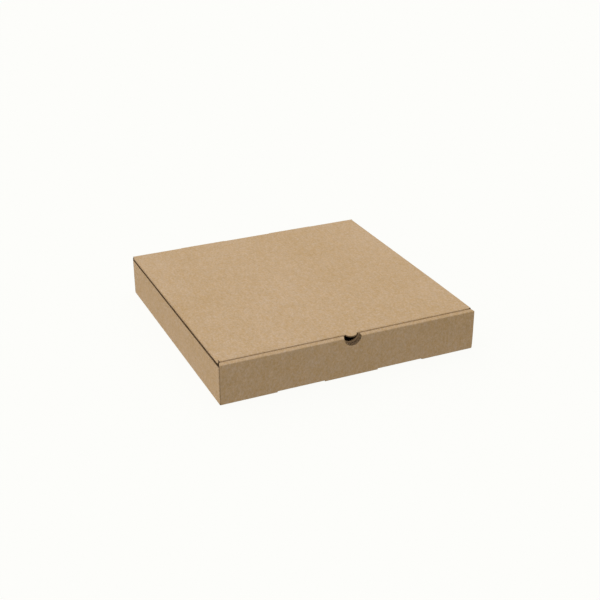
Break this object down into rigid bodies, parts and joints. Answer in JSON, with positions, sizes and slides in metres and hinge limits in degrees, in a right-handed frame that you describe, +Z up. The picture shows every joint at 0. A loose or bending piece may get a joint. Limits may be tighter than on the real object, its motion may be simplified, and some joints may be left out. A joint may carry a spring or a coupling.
{
  "type": "pizza box",
  "caption": "Square corrugated pizza box folded from one sheet, with a rolled-over front, a thumb notch and a hinged tuck-in lid.",
  "frame": {"origin": "on the surface that the box stands on, under the middle of the tray", "axes": "+Z up, +Y towards the hinge at the back, +X to the right seen from the front, where the thumb notch is"},
  "size_m": [0.3, 0.301, 0.0484],
  "materials": {
    "kraft_board": "matt, unprinted brown kraft liner"
  },
  "bodies": {
    "tray": {"tray": "kraft_board"},
    "lid": {"lid": "kraft_board"}
  },
  "joints": [
    {"name": "lid_hinge", "type": "hinge", "parent": "tray", "child": "lid", "pos_m": [0, 0.14925, 0.04765], "axis": [-1, 0, 0], "range_deg": [0, 188]}
  ]
}
